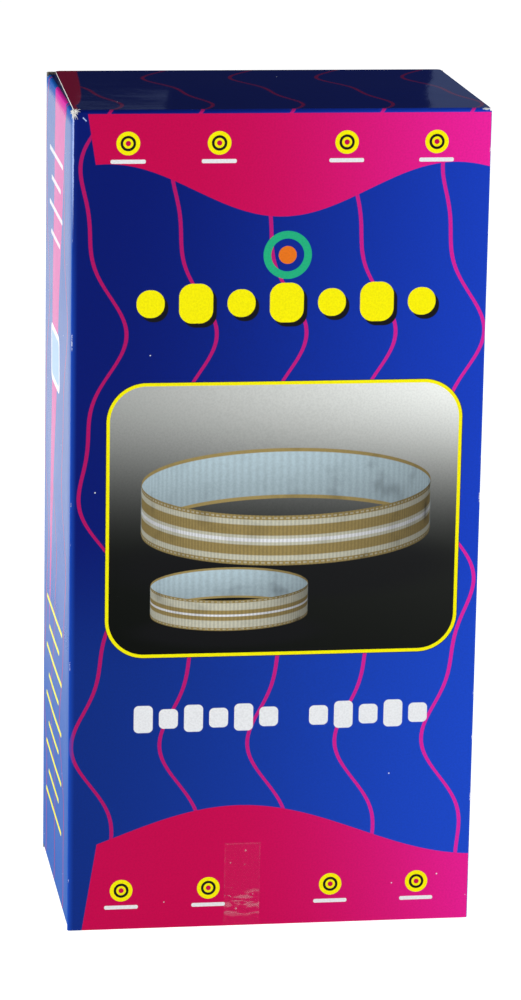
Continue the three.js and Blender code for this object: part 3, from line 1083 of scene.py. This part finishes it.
@dataclass
class Sleeve:
    """Four walls and the glue flap, folded from one sheet."""

    back_height: float = 253.4
    raw_edge: float = 61.3
    right_rear: float = 38.6
    glue_flap_end: float = 46.5
    glue_flap_head: float = 250.2
    glue_flap_foot: float = 3.6
    cell: float = 7.5
    bow: float = 0.45

    def build(self, store: Store) -> bpy.types.Object:
        """Makes the sleeve and dresses it.

        Args:
            store: The materials.

        Returns:
            The piece.
        """
        width = self.raw_edge + WALL_X
        middle = (self.raw_edge - WALL_X) / 2
        half = self.back_height / 2
        piece = Bench.sheet("printed_sleeve", (middle, HALF_DEPTH, half), (width, self.back_height), (90, 0, 0))
        with Bench.editing(piece):
            Bench.pick("edges", lambda p: p.x < -WALL_X + 0.01)
            self._corner(-WALL_X, WALL_Y)
            Bench.extrude((0, -2 * WALL_Y, 0))
            self._corner(-WALL_X, -WALL_Y)
            Bench.extrude((2 * WALL_X, 0, 0))
            self._corner(WALL_X, -WALL_Y)
            Bench.extrude((0, WALL_Y + self.right_rear, 0))
            self._corner(WALL_X, self.right_rear)
            Bench.extrude((self.glue_flap_end - WALL_X, 0, 0))
            Bench.cut([SIDE_FOOT, SIDE_TOP, FRONT_TOP], 2)
            Bench.cut(Bench.evenly(SIDE_FOOT, SIDE_TOP, self.cell), 2)
            Bench.cut(Bench.evenly(-WALL_X, self.raw_edge, self.cell), 0)
            Bench.cut([self.right_rear, *Bench.evenly(-WALL_Y, self.right_rear, self.cell)], 1)
            bpy.ops.mesh.select_mode(type="FACE")
            Bench.pick("faces", self._off_the_board)
            bpy.ops.mesh.delete(type="FACE")
            self._trim_glue_flap(self.glue_flap_head, 1)
            self._trim_glue_flap(self.glue_flap_foot, -1)
        Bench.outward(piece, lambda p: p.y < -39.9, (0, -1, 0))
        with Bench.editing(piece, "VERT"):
            self._bow_walls()
        Bench.thicken(piece)
        Bench.smooth(piece)
        walls = [store.get(PrintedLaminate(w)) for w in (Wall.FRONT, Wall.LEFT, Wall.BACK, Wall.RIGHT)]
        inner = store.get(RawBoard("board_inside"))
        Bench.paint(piece, [*walls, inner, store.get(CutEdge())], self._finish_of)
        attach(piece, "carton")
        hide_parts("carton_sleeve")
        return piece

    def _corner(self, x: float, y: float) -> None:
        """Folds the selected edge a quarter turn round an upright crease."""
        Bench.fold((x, y, 0), (0, 0, 1), 90)

    def _off_the_board(self, place: Vector) -> bool:
        """Says whether a face is cut away above or below a wall."""
        side = abs(place.x) > HALF_WIDTH - 0.01 and place.y < self.right_rear
        front = place.y < -WALL_Y
        over = side and not SIDE_FOOT < place.z < SIDE_TOP
        return over or (front and place.z > FRONT_TOP)

    def _trim_glue_flap(self, level: float, way: int) -> None:
        """Cuts the glue flap's slanted end."""
        Bench.pick("faces", lambda p: abs(p.y - (self.right_rear + CREASE)) < 0.01 and p.x < WALL_X)
        normal = Vector((-0.278, 0, 0.96 * way))
        bpy.ops.mesh.bisect(
            plane_co=(self.raw_edge * MM, 0, level * MM), plane_no=normal, clear_outer=True
        )

    def _bow_walls(self) -> None:
        """Bows each wall a little outwards, as empty board does."""
        for z in (78, 127, 176):
            Bench.swell((0, -HALF_DEPTH, z), (0, -self.bow * 0.45, 0), 56)
            Bench.swell((0, HALF_DEPTH, z), (0, self.bow * 0.45, 0), 56)
        for z in (60, 127, 194):
            Bench.swell((-HALF_WIDTH, 0, z), (-self.bow * 0.6, 0, 0), 37)
            Bench.swell((HALF_WIDTH, 0, z), (self.bow * 0.6, 0, 0), 37)

    def _finish_of(self, place: Vector, normal: Vector) -> int:
        """Numbers the finish of a face: 0 to 3 the walls, 4 the inside, 5 a cut edge."""
        if abs(normal.z) > 0.7:
            return 5
        glue_flap = place.y > 38.9 and place.y < 39.7 and 46 < place.x < 61.55
        if glue_flap:
            return 4
        centre_ward = Vector((place.x / HALF_WIDTH, place.y / HALF_DEPTH, 0))
        sides = [(-place.y - HALF_DEPTH, 0), (-place.x - HALF_WIDTH, 1), (place.y - HALF_DEPTH, 2)]
        sides.append((place.x - HALF_WIDTH, 3))
        nearest, wall = max(sides)
        if place.x > 61.2 and place.y > 39.45 and abs(normal.x) > 0.9:
            return 5
        outward = normal.dot(centre_ward) > 0
        return wall if outward and nearest > -0.36 - (0.5 if wall == 3 or place.x > 61 else 0) else 4


@dataclass
class FoldStrip:
    """The board's own crease between two parts that turn on each other."""

    name: str
    start: tuple[Point, Point]
    back: Point
    centre: Point
    axis: Point
    degrees: float
    bodies: tuple[str, str]
    blend_ends: tuple[Point, Point]
    outside: Point
    outer: Any
    inner: Any
    cells: int = 20

    def build(self, store: Store) -> bpy.types.Object:
        """Makes the strip from the edge where it starts, spun round its crease.

        Args:
            store: The materials.

        Returns:
            The piece.
        """
        low, high = Vector(self.start[0]), Vector(self.start[1])
        along = high - low
        middle = (low + high) / 2 + Vector(self.back) / 2
        lies_along_x = abs(along.x) > abs(along.y)
        upright = abs(self.back[2]) > 0.5
        turn = (90, 0, 0 if lies_along_x else 90) if upright else (0, 0, 0 if lies_along_x else 90)
        piece = Bench.sheet(self.name, tuple(middle), (along.length, 1), turn)
        with Bench.editing(piece):
            Bench.pick("edges", lambda p: (p - (low + high) / 2).length < 0.05)
            Bench.fold(self.centre, self.axis, self.degrees, 8)
            bpy.ops.mesh.select_mode(type="FACE")
            Bench.pick("faces", lambda p: (p - middle).length < 0.05)
            bpy.ops.mesh.delete(type="FACE")
            axis = 0 if lies_along_x else 1
            Bench.cut(Bench.evenly(min(low[axis], high[axis]), max(low[axis], high[axis]), along.length / self.cells), axis)
        Bench.outward(piece, lambda p: True, self.outside)
        Bench.thicken(piece)
        Bench.smooth(piece, 50)
        Bench.keep_place(piece)
        centre = Vector(self.centre)
        materials = [store.get(self.outer), store.get(self.inner), store.get(CutEdge(Spot.FOLD))]

        def finish_of(place: Vector, normal: Vector) -> int:
            """Outside, inside or cut end of the fold."""
            axis_way = Vector(self.axis)
            if abs(normal.dot(axis_way)) > 0.7:
                return 2
            arm = (place - centre) - axis_way * (place - centre).dot(axis_way)
            return 0 if arm.dot(normal) > 0 else 1

        Bench.paint(piece, materials, finish_of)
        start, end = ([c * MM for c in p] for p in self.blend_ends)
        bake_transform(piece)
        return piece


@dataclass
class Lid:
    """The top panel, its tuck flap and the folds that join them."""

    front_half: float = 62.0
    rear_left: float = 59.9
    rear_right: float = 61.3
    rear_fold: float = 37.53
    corner: float = 1.5
    lean: float = 6.0
    tuck_length: float = 15.8
    tuck_corner: float = 10.5
    cell: float = 6.0

    def build(self, store: Store) -> list[bpy.types.Object]:
        """Makes the lid's pieces.

        Args:
            store: The materials.

        Returns:
            The pieces.
        """
        return [self._panel(store), self._tuck(store), self._front_fold(store), self._rear_fold(store)]

    def _finish_of(self, place: Vector, normal: Vector) -> int:
        """Numbers the finish of a face: 0 printed, 1 raw, 2 a cut edge."""
        if abs(normal.z) < 0.5:
            return 2
        return 0 if normal.z > 0 else 1

    def _panel(self, store: Store) -> bpy.types.Object:
        """The panel, cut narrower towards its rear edge."""
        depth = self.rear_fold + WALL_Y
        middle = (self.rear_fold - WALL_Y) / 2
        piece = Bench.sheet("printed_lid", (0, middle, LID_TOP), (2 * self.front_half, depth))
        with Bench.editing(piece, "VERT"):
            Bench.pick("verts", lambda p: p.x < 0 and p.y > 0)
            bpy.ops.transform.translate(value=((self.front_half - self.rear_left) * MM, 0, 0))
            Bench.pick("verts", lambda p: p.x > 0 and p.y > 0)
            bpy.ops.transform.translate(value=((self.rear_right - self.front_half) * MM, 0, 0))
            Bench.pick("verts", lambda p: p.y > 0)
            bpy.ops.mesh.bevel(offset=self.corner * MM, segments=5, affect="VERTICES")
            bpy.ops.mesh.select_mode(type="EDGE")
            Bench.cut(Bench.evenly(-self.front_half, self.front_half, self.cell), 0)
            Bench.cut(Bench.evenly(-WALL_Y, self.rear_fold, self.cell), 1)
        Bench.outward(piece, lambda p: True, (0, 0, 1))
        with Bench.editing(piece, "VERT"):
            Bench.swell((-14, 2, LID_TOP), (0, 0, 0.16), 34)
            Bench.swell((30, -4, LID_TOP), (0, 0, 0.16), 30)
        Bench.thicken(piece)
        Bench.smooth(piece)
        finishes = [PrintedLaminate(Wall.LID), RawBoard("lid_inside"), CutEdge()]
        Bench.paint(piece, [store.get(f) for f in finishes], self._finish_of)
        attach(piece, "lid")
        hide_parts("lid_panel")
        return piece

    def _tuck_line(self) -> tuple[float, float]:
        """Where the tuck flap starts: its outer face's y and z."""
        return self.rear_fold + CREASE, LID_TOP - CREASE

    def _tuck(self, store: Store) -> bpy.types.Object:
        """The tuck flap, leaning in, with round free corners."""
        y, z = self._tuck_line()
        angle = math.radians(self.lean)
        half = self.tuck_length / 2
        left, right = self.corner - self.rear_left, self.rear_right - self.corner
        centre = ((left + right) / 2, y - half * math.sin(angle), z - half * math.cos(angle))
        size = (right - left, self.tuck_length)
        piece = Bench.sheet("printed_tuck_flap", centre, size, (90 - self.lean, 0, 0))
        with Bench.editing(piece, "VERT"):
            Bench.pick("verts", lambda p: p.z < z - self.tuck_length / 2)
            bpy.ops.mesh.bevel(offset=self.tuck_corner * MM, segments=8, affect="VERTICES")
            bpy.ops.mesh.select_mode(type="EDGE")
            Bench.cut(Bench.evenly(left, right, 8), 0)
            Bench.cut(Bench.evenly(z - self.tuck_length, z, 4), 2)
        Bench.outward(piece, lambda p: True, (0, 1, 0))
        Bench.thicken(piece)
        Bench.smooth(piece)

        def finish_of(place: Vector, normal: Vector) -> int:
            """Printed outside, raw inside, or a cut edge."""
            if abs(normal.y) < 0.6:
                return 2
            return 0 if normal.y > 0 else 1

        finishes = [PrintedLaminate(Wall.LID), RawBoard("lid_inside"), CutEdge()]
        Bench.paint(piece, [store.get(f) for f in finishes], finish_of)
        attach(piece, "tuck")
        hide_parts("tuck_flap")
        return piece

    def _front_fold(self, store: Store) -> bpy.types.Object:
        """The hinge crease between the front wall and the lid."""
        reach = self.front_half - 0.2
        return FoldStrip(
            name="lid_hinge_fold",
            start=((-reach, -HALF_DEPTH, FRONT_TOP), (reach, -HALF_DEPTH, FRONT_TOP)),
            back=(0, 0, -1),
            centre=(0, -WALL_Y, FRONT_TOP),
            axis=(1, 0, 0),
            degrees=-90,
            bodies=("carton", "lid"),
            blend_ends=((0, -HALF_DEPTH, FRONT_TOP), (0, -WALL_Y, LID_TOP)),
            outside=(0, -1, 1),
            outer=PrintedLaminate(Wall.FRONT, Spot.FOLD),
            inner=RawBoard("lid_inside", Spot.FOLD),
        ).build(store)

    def _rear_fold(self, store: Store) -> bpy.types.Object:
        """The crease between the lid and its tuck flap."""
        left, right = self.corner - self.rear_left, self.rear_right - self.corner
        y, z = self._tuck_line()
        return FoldStrip(
            name="tuck_fold_strip",
            start=((left, self.rear_fold, LID_TOP), (right, self.rear_fold, LID_TOP)),
            back=(0, -1, 0),
            centre=(0, self.rear_fold, z),
            axis=(1, 0, 0),
            degrees=-90,
            bodies=("lid", "tuck"),
            blend_ends=((0, self.rear_fold, LID_TOP), (0, y, z)),
            outside=(0, 1, 1),
            outer=PrintedLaminate(Wall.LID, Spot.FOLD),
            inner=RawBoard("lid_inside", Spot.FOLD),
        ).build(store)


@dataclass
class DustFlap:
    """A flap on a side wall's crease, at the head or at the foot."""

    side: int  # -1 left, 1 right
    top: bool
    root: float = WALL_X
    free: float = 5.5
    level: float = 253.2
    plain_edge: float = 38.5
    cut_edge: float = 35.0
    shoulder: float = 50.5
    taper: float = 7.0
    corner: float = 3.0

    def build(self, store: Store) -> list[bpy.types.Object]:
        """Makes the flap and its fold.

        Args:
            store: The materials.

        Returns:
            The pieces.
        """
        side = "left" if self.side < 0 else "right"
        end = "top" if self.top else "bottom"
        way = 1 if self.top else -1  # the tapered edge lies on the tuck flap's side
        height = self.level if self.top else HEIGHT - self.level
        span = self.root - self.free
        middle = self.side * (self.root + self.free) / 2
        across = way * (self.cut_edge - self.plain_edge) / 2
        width = self.cut_edge + self.plain_edge
        name = f"{end}_dust_flap_{side}_board"
        piece = Bench.sheet(name, (middle, across, height), (span, width))
        with Bench.editing(piece, "VERT"):
            Bench.cut([self.side * self.shoulder], 0)
            bpy.ops.mesh.select_mode(type="VERT")
            Bench.pick("verts", lambda p: abs(p.x) < self.free + 0.01 and p.y * way > 0)
            bpy.ops.transform.translate(value=(0, -way * self.taper * MM, 0))
            Bench.pick("verts", lambda p: abs(p.x) < self.free + 0.01)
            bpy.ops.mesh.bevel(offset=self.corner * MM, segments=5, affect="VERTICES")
            if not self.top:
                bpy.ops.mesh.select_mode(type="EDGE")
                Bench.pick("edges", lambda p: abs(p.x) > self.root - 0.01)
                turn = -90 * self.side * -1
                Bench.fold((self.side * self.root, 0, SIDE_FOOT), (0, 1, 0), -turn)
            low, high = sorted((self.side * self.free, self.side * self.root))
            Bench.cut(Bench.evenly(low, high, 8), 0)
            Bench.cut(Bench.evenly(-self.plain_edge, self.plain_edge, 8), 1)
        Bench.outward(piece, lambda p: abs(p.x) < self.shoulder, (0, 0, way))
        if self.top:
            with Bench.editing(piece, "VERT"):
                Bench.swell((self.side * 12, 0, height), (0, 0, -0.5), 24)
        Bench.thicken(piece)
        Bench.smooth(piece)

        def finish_of(place: Vector, normal: Vector) -> int:
            """Outside, inside or cut edge of the flap."""
            fold = abs(place.x) > self.root
            out = normal.dot(Vector((self.side if fold else 0, 0, way)))
            if abs(normal.y) > 0.7 or abs(out) < 0.5:
                return 2
            return 0 if out > 0 else 1

        finishes = [RawBoard("flap_outside", bleed=True, tone=(0.62, 0.61, 0.58)), RawBoard("flap_inside"), CutEdge()]
        Bench.paint(piece, [store.get(f) for f in finishes], finish_of)
        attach(piece, f"dust_{side}" if self.top else "carton")
        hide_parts(f"{end}_dust_flap_{side}")
        return [piece, self._fold(store, side)] if self.top else [piece]

    def _fold(self, store: Store, side: str) -> bpy.types.Object:
        """The crease between the side wall and the top flap."""
        wall_x = self.side * HALF_WIDTH
        return FoldStrip(
            name=f"dust_fold_{side}_strip",
            start=((wall_x, -self.plain_edge, SIDE_TOP), (wall_x, self.cut_edge, SIDE_TOP)),
            back=(0, 0, -1),
            centre=(self.side * self.root, 0, SIDE_TOP),
            axis=(0, 1, 0),
            degrees=-90 * self.side,
            bodies=("carton", f"dust_{side}"),
            blend_ends=((wall_x, 0, SIDE_TOP), (self.side * self.root, 0, self.level)),
            outside=(self.side, 0, 1),
            outer=PrintedLaminate(Wall.LEFT if self.side < 0 else Wall.RIGHT, Spot.FOLD),
            inner=RawBoard("flap_inside", Spot.FOLD),
            cells=12,
        ).build(store)


@dataclass
class Base:
    """The base panel, folded from the back wall, with its tuck flap behind the front wall."""

    half: float = 61.7
    front: float = -38.3
    tuck_head: float = 16.0
    tuck_corner: float = 10.5
    corner: float = 1.5

    def build(self, store: Store) -> bpy.types.Object:
        """Makes the base.

        Args:
            store: The materials.

        Returns:
            The piece.
        """
        depth = WALL_Y - self.front
        piece = Bench.sheet("printed_base", (0, (WALL_Y + self.front) / 2, 0), (2 * self.half, depth))
        with Bench.editing(piece, "VERT"):
            Bench.pick("verts", lambda p: p.y < 0)
            bpy.ops.mesh.bevel(offset=self.corner * MM, segments=2, affect="VERTICES")
            Bench.pick("verts", lambda p: p.y > 0)
            bpy.ops.mesh.bevel(offset=0.4 * MM, segments=1, affect="VERTICES")
            bpy.ops.mesh.select_mode(type="EDGE")
            Bench.pick("edges", lambda p: p.y < self.front + 0.01)
            Bench.fold((0, self.front, CREASE), (1, 0, 0), -90)
            Bench.extrude((0, 0, self.tuck_head - CREASE))
            bpy.ops.mesh.select_mode(type="VERT")
            Bench.pick("verts", lambda p: p.z > self.tuck_head - 0.01)
            bpy.ops.mesh.bevel(offset=self.tuck_corner * MM, segments=8, affect="VERTICES")
            bpy.ops.mesh.select_mode(type="EDGE")
            Bench.pick("edges", lambda p: p.y > WALL_Y - 0.01)
            Bench.fold((0, WALL_Y, CREASE), (1, 0, 0), 90)
            Bench.cut(Bench.evenly(-self.half, self.half, 8), 0)
            Bench.cut(Bench.evenly(self.front, WALL_Y, 8), 1)
        Bench.outward(piece, lambda p: p.z < 0.01, (0, 0, -1))
        Bench.thicken(piece)
        Bench.smooth(piece)

        def finish_of(place: Vector, normal: Vector) -> int:
            """Printed outside, raw inside, or a cut edge."""
            middle = Vector((0, 0, 8))
            flap = place.z > CREASE and place.y < 0
            out = -normal.y if flap else (place - middle).normalized().dot(normal)
            if abs(normal.x) > 0.7 or (flap and abs(normal.y) < 0.6):
                return 2
            if abs(place.y) < -self.front and not flap:
                return 0 if normal.z < 0 else 1
            return 0 if out > 0 else 1

        finishes = [PrintedLaminate(Wall.BASE), RawBoard("board_inside"), CutEdge()]
        Bench.paint(piece, [store.get(f) for f in finishes], finish_of)
        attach(piece, "carton")
        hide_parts("bottom_panel")
        return piece


@dataclass
class Tape:
    """Clear tape up the front wall and under the base, a little creased."""

    centre: float = -8.6
    width: float = 11.0
    height: float = 27.0
    under: float = -16.0
    proud: float = 0.05
    radius: float = 0.2
    thickness: float = 0.04

    def build(self, store: Store) -> bpy.types.Object:
        """Makes the tape.

        Args:
            store: The materials.

        Returns:
            The piece.
        """
        front = -HALF_DEPTH - self.proud
        bend = self.radius - self.proud
        mid = (self.height + bend) / 2
        size = (self.width, self.height - bend)
        piece = Bench.sheet("clear_tape_strip", (self.centre, front, mid), size, (90, 0, 0))
        low, high = self.centre - self.width / 2, self.centre + self.width / 2
        with Bench.editing(piece):
            Bench.pick("edges", lambda p: p.z < bend + 0.01)
            Bench.fold((0, front + self.radius, bend), (1, 0, 0), 90)
            Bench.extrude((0, self.under - front - self.radius, 0))
            teeth = Bench.evenly(low, high, 0.5)
            Bench.cut(teeth, 0)
            Bench.cut(Bench.evenly(bend, self.height, 1.1), 2)
            Bench.cut(Bench.evenly(front + self.radius, self.under, 1.5), 1)
            bpy.ops.mesh.select_mode(type="VERT")
            odd = teeth[::2]
            Bench.pick("verts", lambda p: p.z > self.height - 0.01 and min(abs(p.x - t) for t in odd) < 0.01)
            bpy.ops.transform.translate(value=(0, 0, -0.5 * MM))
            Bench.pick("verts", lambda p: p.y > self.under - 0.01 and min(abs(p.x - t) for t in odd) < 0.01)
            bpy.ops.transform.translate(value=(0, -0.5 * MM, 0))
        Bench.outward(piece, lambda p: p.z > 2, (0, -1, 0))
        self._crease(piece)
        Bench.thicken(piece, self.thickness)
        Bench.smooth(piece, 60)
        Bench.paint(piece, [store.get(ClearFilm())], lambda place, normal: 0)
        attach(piece, "carton")
        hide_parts("clear_tape")
        return piece

    def _crease(self, piece: bpy.types.Object) -> None:
        """Raises shallow creases in the upright part of the film."""
        ripple = bpy.data.textures.new("tape_ripple", "CLOUDS")
        ripple.noise_scale = 2.6 * MM
        group = piece.vertex_groups.new(name="upright")
        group.add([v.index for v in piece.data.vertices if 2 < v.co.z / MM < 26], 1.0, "REPLACE")
        Bench.modify(
            piece, "DISPLACE", texture=ripple, strength=0.22 * MM, mid_level=0.25, vertex_group="upright"
        )


@dataclass
class FrayedCorner:
    """Loose fibre where the board is worn through at the front left top corner."""

    place: Point = (-62.15, -39.75, 253.55)
    tufts: tuple[tuple[float, float, float], ...] = (
        (322, 26, 2.6), (334, 8, 2.2), (300, 40, 1.6), (316, -48, 2.7), (304, -62, 2.4), (262, -80, 3.0),
        (240, 44, 1.3), (214, -70, 2.2), (196, -20, 1.2), (180, 34, 1.0), (345, 50, 1.5),
        (282, -84, 2.4), (330, -22, 1.6), (250, -30, 1.1),
    )
    width: float = 0.27

    def build(self, store: Store) -> bpy.types.Object:
        """Makes the tuft of fibres and the lifted ply under them.

        Args:
            store: The materials.

        Returns:
            The piece.
        """
        fibre = self._fibre()
        copies = [self._ply()]
        for heading, slope, length in self.tufts:
            copy = fibre.copy()
            copy.data = fibre.data.copy()
            bpy.context.scene.collection.objects.link(copy)
            turn = Euler((0, math.radians(90 - slope), math.radians(heading)))
            stretch = Matrix.Diagonal((1, 1, length, 1))
            spot = Matrix.Translation(Vector(self.place) * MM)
            copy.data.transform(spot @ turn.to_matrix().to_4x4() @ stretch)
            copies.append(copy)
        bpy.data.objects.remove(fibre)
        Bench.clear()
        for copy in copies:
            copy.select_set(True)
        bpy.context.view_layer.objects.active = copies[0]
        bpy.ops.object.join()
        piece = bpy.context.object
        piece.name = "frayed_corner_fibres"
        Bench.smooth(piece, 40)
        Bench.paint(piece, [store.get(PaperFibre())], lambda place, normal: 0)
        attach(piece, "carton")
        return piece

    def _fibre(self) -> bpy.types.Object:
        """One curved fibre, a millimetre long, standing at the origin."""
        Bench.clear()
        bpy.ops.mesh.primitive_cone_add(
            vertices=6, radius1=self.width * MM, radius2=0.02 * MM, depth=1 * MM, location=(0, 0, 0.5 * MM)
        )
        made = bpy.context.object
        bpy.ops.object.transform_apply(location=True, rotation=True, scale=True)
        with Bench.editing(made, "VERT"):
            Bench.cut([0.3, 0.6, 0.8], 2)
            bpy.ops.mesh.select_mode(type="VERT")
            Bench.pick("verts", lambda p: p.z > 0.95)
            bpy.ops.transform.translate(
                value=(0.22 * MM, 0, 0),
                use_proportional_edit=True,
                proportional_edit_falloff="SHARP",
                proportional_size=0.9 * MM,
            )
        return made

    def _ply(self) -> bpy.types.Object:
        """A small ragged ply of white paper, bent round the corner."""
        Bench.clear()
        bpy.ops.mesh.primitive_circle_add(vertices=14, radius=0.85 * MM, fill_type="TRIFAN")
        made = bpy.context.object
        turn = Euler((math.radians(62), 0, math.radians(-42))).to_matrix().to_4x4()
        spot = Matrix.Translation((Vector(self.place) + Vector((-0.28, -0.2, 0.16))) * MM)
        with Bench.editing(made, "VERT"):
            mesh = bmesh.from_edit_mesh(made.data)
            ring = [v for v in mesh.verts if v.co.length > 0.5 * MM]
            for number, vertex in enumerate(ring):
                vertex.co *= (1.15, 0.45, 0.95, 0.4, 1.3, 0.5, 1.0)[number % 7]
            bmesh.update_edit_mesh(made.data)
        made.data.transform(spot @ turn)
        Bench.modify(made, "SOLIDIFY", thickness=0.16 * MM, offset=0.0)
        Bench.modify(made, "SUBSURF", levels=1, render_levels=1)
        return made


@dataclass
class Studio:
    """Floor, lights and camera. None of it is part of the carton."""

    floor_half: float = 30.0
    floor_drop: float = 0.00012
    camera_place: Point = (-185.2, -1235.5, 445.0)
    camera_turn: Point = (75.637, -1.002, -8.318)
    lens: float = 149.3
    lights: tuple[tuple[str, Point, Point, tuple[float, float], float], ...] = field(
        default=(
            ("key_light", (0.66, -0.80, 0.36), (0.02, -0.04, 0.14), (0.8, 0.6), 5.0),
            ("side_light", (-1.25, 0.0, 0.42), (-0.06, 0.0, 0.12), (1.2, 0.8), 12.8),
            ("back_light", (1.25, 1.0, 0.75), (0.0, 0.04, 0.12), (0.8, 0.6), 12.0),
            ("top_light", (0.0, 0.42, 1.5), (0.0, 0.1, 0.2), (1.2, 1.2), 3.2),
        )
    )

    def build(self) -> None:
        """Makes the stage."""
        self._camera()
        self._floor()
        self._world()
        for name, place, target, size, power in self.lights:
            self._panel_light(name, place, target, size, power)
        cool = (0.5, 0.66, 1.0)
        self._panel_light("lid_sheen", (0.764, 1.5, 0.50), (0.764, 0.0, 0.50), (0.85, 0.30), 0.24, cool)
        self._panel_light("lid_glint", (0.128, 1.5, 0.525), (0.128, 0.0, 0.525), (0.06, 0.05), 0.002, cool)
        bpy.context.scene.view_settings.view_transform = "Standard"

    def _camera(self) -> None:
        """A long lens a little left of the front, looking down at the carton."""
        data = bpy.data.cameras.new("camera")
        data.lens = self.lens
        data.clip_end = 200
        camera = bpy.data.objects.new("camera", data)
        camera.location = Vector(self.camera_place) * MM
        camera.rotation_euler = [math.radians(a) for a in self.camera_turn]
        bpy.context.scene.collection.objects.link(camera)
        bpy.context.scene.camera = camera

    def _floor(self) -> None:
        """A white floor lit from within, as a light table is."""
        Bench.clear()
        bpy.ops.mesh.primitive_plane_add(size=2 * self.floor_half, location=(0, 0, -self.floor_drop))
        floor = bpy.context.object
        floor.name = "floor"
        graph = Graph("floor_white")
        graph.finish(
            (0.35, 0.35, 0.35), 0.9, None, 0.0, Emission_Color=(1, 1, 1, 1), Emission_Strength=1.0, IOR=1.2
        )
        floor.data.materials.append(graph.material)

    def _world(self) -> None:
        """A dim even room."""
        world = bpy.data.worlds.new("room")
        world.use_nodes = True
        background = world.node_tree.nodes["Background"]
        background.inputs["Color"].default_value = (0.55, 0.62, 0.78, 1)
        background.inputs["Strength"].default_value = 0.035
        bpy.context.scene.world = world

    def _panel_light(
        self,
        name: str,
        place: Point,
        target: Point,
        size: tuple[float, float],
        power: float,
        tint: Colour = (1.0, 1.0, 1.0),
    ) -> None:
        """A soft panel.

        Args:
            name: The light's name.
            place: Where it stands, in metres.
            target: Where it points, in metres.
            size: Its width and height, in metres.
            power: Its power in watts.
            tint: Its colour.
        """
        data = bpy.data.lights.new(name, "AREA")
        data.shape = "RECTANGLE"
        data.size, data.size_y = size
        data.energy = power
        data.color = tint
        light = bpy.data.objects.new(name, data)
        light.location = place
        light.rotation_euler = (Vector(target) - Vector(place)).to_track_quat("-Z", "Y").to_euler()
        light.visible_camera = False
        light.visible_glossy = name != "key_light"
        bpy.context.scene.collection.objects.link(light)


def report(pieces: Sequence[bpy.types.Object]) -> None:
    """Logs each piece and its size in faces."""
    for piece in pieces:
        LOG.info("%s: %d faces", piece.name, len(piece.data.polygons))


def main() -> None:
    """Builds the stage and the carton's pieces."""
    logging.basicConfig(level=logging.INFO, format="%(name)s %(message)s")
    store = Store()
    Studio().build()
    report([Sleeve().build(store)])
    report(Lid().build(store))
    for side in (-1, 1):
        for top in (True, False):
            report(DustFlap(side, top).build(store))
    report([Base().build(store), Tape().build(store), FrayedCorner().build(store)])


if __name__ == "__main__":
    main()
